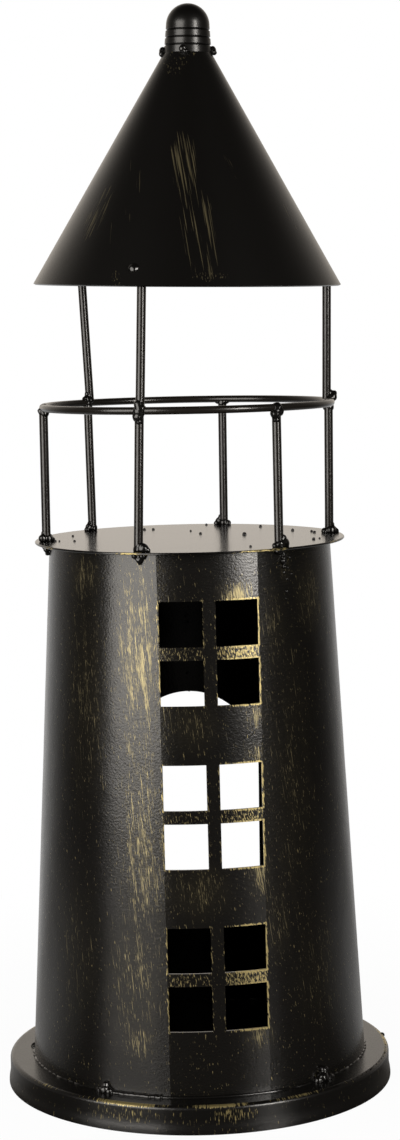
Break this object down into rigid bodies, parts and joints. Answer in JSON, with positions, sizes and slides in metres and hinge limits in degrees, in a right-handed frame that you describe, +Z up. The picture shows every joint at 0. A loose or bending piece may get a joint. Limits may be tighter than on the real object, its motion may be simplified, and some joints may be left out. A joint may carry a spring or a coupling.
{
  "type": "lighthouse lantern ornament",
  "caption": "Lighthouse ornament of welded sheet steel and rod: pan base, tapering tower with windows and an open arched back, railed gallery, cone roof and domed cap.",
  "frame": {"origin": "centre of the base on the surface that it stands on", "axes": "+Z up along the tower, -Y out through the windows"},
  "size_m": [0.17, 0.17, 0.4686],
  "materials": {
    "lacquered_sheet": "satin black lacquer with dry-brushed gold",
    "lacquered_rod": "satin black lacquer",
    "lacquered_weld": "glossy black lacquer over rough weld metal"
  },
  "bodies": {
    "root": {"base_pan": "lacquered_sheet", "tower_shell": "lacquered_sheet", "gallery_plate": "lacquered_sheet", "roof_cone": "lacquered_sheet", "finial_cap": "lacquered_sheet", "rail_ring": "lacquered_rod", "baluster_front_left": "lacquered_rod", "baluster_front_right": "lacquered_rod", "baluster_left": "lacquered_rod", "baluster_right": "lacquered_rod", "baluster_back_left": "lacquered_rod", "baluster_back_right": "lacquered_rod", "lantern_post_front_left": "lacquered_rod", "lantern_post_back_left": "lacquered_rod", "lantern_post_right": "lacquered_rod", "foot_tacks": "lacquered_weld", "gallery_tacks": "lacquered_weld", "baluster_foot_welds": "lacquered_weld", "rail_welds": "lacquered_weld", "lantern_post_welds": "lacquered_weld", "roof_post_welds": "lacquered_weld", "finial_welds": "lacquered_weld", "tower_seam_weld": "lacquered_weld", "roof_seam_weld": "lacquered_weld"}
  },
  "joints": []
}
